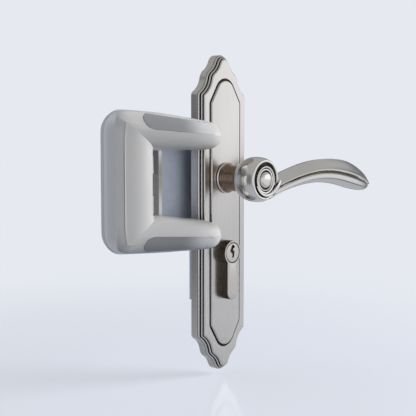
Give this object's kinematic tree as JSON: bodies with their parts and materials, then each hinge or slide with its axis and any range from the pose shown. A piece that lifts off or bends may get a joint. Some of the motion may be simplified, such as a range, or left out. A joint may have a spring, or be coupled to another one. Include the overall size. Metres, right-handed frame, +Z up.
{
  "type": "door lever lock",
  "caption": "Satin nickel lever handle on an ornate long back plate with profile cylinder and slim mortise case, plus a white C-shaped swing guard that straddles the lever neck",
  "frame": {"origin": "on the spindle axis, on the plane of the door's front face that the back plate rests on", "axes": "+X along the lever from the hub, +Y into the door, +Z up; metres"},
  "size_m": [0.2501, 0.0807, 0.2338],
  "materials": {
    "satin_nickel": "satin nickel plate",
    "polished_plug": "nickel-plated brass",
    "zinc_steel": "bright zinc plate",
    "dark_steel": "black oxide",
    "spring_steel": "drawn wire",
    "brass": "turned and tumbled",
    "nylon": "moulded, natural",
    "white_abs": "moulded, glossy",
    "grey_grip": "soft satin",
    "foam_tape": "foam"
  },
  "bodies": {
    "lock_body": {"backplate": "satin_nickel", "fixing_posts": "zinc_steel", "lever_bush": "nylon", "return_spring": "spring_steel", "spring_cover": "zinc_steel", "cover_screws": "dark_steel", "lock_case": "zinc_steel", "case_lid": "zinc_steel", "lid_screws": "dark_steel", "forend": "satin_nickel", "latch_spring": "spring_steel", "cylinder_body": "satin_nickel", "driver_pins": "zinc_steel", "pin_springs": "spring_steel", "chamber_plugs": "brass", "cylinder_screw": "dark_steel", "guard_base": "white_abs", "adhesive_pad": "foam_tape", "hinge_pin": "zinc_steel"},
    "handle": {"lever": "satin_nickel", "spring_rotor": "zinc_steel", "circlip": "dark_steel", "spindle": "zinc_steel", "grub_screw": "dark_steel", "follower": "brass"},
    "latch": {"latch_bolt": "brass"},
    "bolt": {"deadbolt": "zinc_steel"},
    "core": {"cylinder_plug": "polished_plug", "cylinder_cam": "zinc_steel", "plug_clip": "dark_steel", "key_pins": "brass"},
    "idler": {"idler_gear": "brass"},
    "guard": {"guard_front_shell": "white_abs", "guard_rear_shell": "white_abs", "shell_screws": "dark_steel", "tip_bumpers": "grey_grip", "hinge_spring": "spring_steel", "upper_pad_spring": "spring_steel", "lower_pad_spring": "spring_steel"},
    "upper_button": {"upper_pad": "grey_grip"},
    "lower_button": {"lower_pad": "grey_grip"}
  },
  "joints": [
    {"name": "lever_turn", "type": "hinge", "parent": "lock_body", "child": "handle", "pos_m": [0, 0, 0], "axis": [0, 1, 0], "range_deg": [0, 45], "stiffness_Nm_per_rad": 0.9, "springref_deg": -34.38, "deforming": ["return_spring"]},
    {"name": "latch_slide", "type": "slide", "parent": "lock_body", "child": "latch", "axis": [1, 0, 0], "range_m": [0, 0.01051], "deforming": ["latch_spring"]},
    {"name": "key_turn", "type": "hinge", "parent": "lock_body", "child": "core", "pos_m": [0, 0, -0.055], "axis": [0, 1, 0], "range_deg": [0, 180]},
    {"name": "idler_turn", "type": "hinge", "parent": "lock_body", "child": "idler", "pos_m": [0, 0, -0.046], "axis": [0, 1, 0], "range_deg": [-180.5, 0]},
    {"name": "deadbolt_slide", "type": "slide", "parent": "lock_body", "child": "bolt", "axis": [-1, 0, 0], "range_m": [0, 0.01413]},
    {"name": "guard_swing", "type": "hinge", "parent": "lock_body", "child": "guard", "pos_m": [-0.0819, -0.0056, 0], "axis": [0, 0, -1], "range_deg": [0, 90], "stiffness_Nm_per_rad": 0.04, "springref_deg": -20.05, "deforming": ["hinge_spring"]},
    {"name": "upper_pad_press", "type": "slide", "parent": "guard", "child": "upper_button", "axis": [0.2079, 0.9781, 0], "range_m": [0, 0.002], "stiffness_N_per_m": 600, "springref_m": -0.002, "deforming": ["upper_pad_spring"]},
    {"name": "lower_pad_press", "type": "slide", "parent": "guard", "child": "lower_button", "axis": [0.2079, 0.9781, 0], "range_m": [0, 0.002], "stiffness_N_per_m": 600, "springref_m": -0.002, "deforming": ["lower_pad_spring"]}
  ],
  "couplings": [
    {"joint": "latch_slide", "follows": "lever_turn", "m_per_rad": 0.013369},
    {"joint": "idler_turn", "follows": "deadbolt_slide", "rad_per_m": -222.22},
    {"joint": "key_turn", "follows": "deadbolt_slide", "rad_per_m": 222.22}
  ]
}
